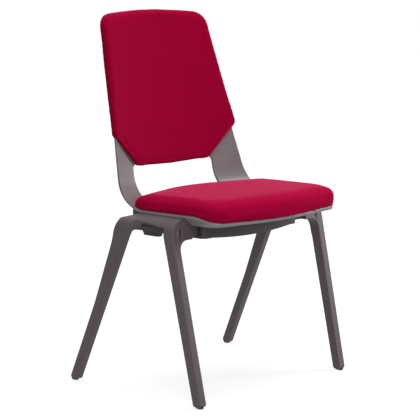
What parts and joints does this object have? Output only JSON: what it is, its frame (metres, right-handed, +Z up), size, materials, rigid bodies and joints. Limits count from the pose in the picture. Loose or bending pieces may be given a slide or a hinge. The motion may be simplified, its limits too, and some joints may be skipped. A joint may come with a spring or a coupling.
{
  "type": "visitor chair",
  "caption": "Stackable visitor chair with a one-piece seat and back shell, upholstered seat pad and back sleeve, on a moulded leg frame.",
  "frame": {"origin": "on the floor under the middle of the chair's plan", "axes": "+Z up, the sitter faces -Y, the sitter's left is +X"},
  "size_m": [0.5184, 0.4756, 0.8653],
  "materials": {
    "shell_plastic": "satin",
    "frame_plastic": "fine grain",
    "buffer_rubber": "matte",
    "glide_plastic": "smooth",
    "red_fabric": "fine weave",
    "foam": "open cell",
    "liner": "felt",
    "plywood": "raw",
    "steel": "zinc plated"
  },
  "bodies": {
    "root": {"seat_back_shell": "shell_plastic", "seat_carrier": "frame_plastic", "side_frame_right": "frame_plastic", "stacking_buffer_right": "buffer_rubber", "glide_front_right": "glide_plastic", "glide_rear_right": "glide_plastic", "side_frame_left": "frame_plastic", "stacking_buffer_left": "buffer_rubber", "glide_front_left": "glide_plastic", "glide_rear_left": "glide_plastic", "seat_cover": "red_fabric", "back_cover": "red_fabric", "seat_foam": "foam", "back_foam": "foam", "back_liner": "liner", "seat_board": "plywood", "frame_bolts": "steel", "frame_inserts": "steel", "shell_screws": "steel", "pad_bolts": "steel", "pad_tee_nuts": "steel"}
  },
  "joints": []
}
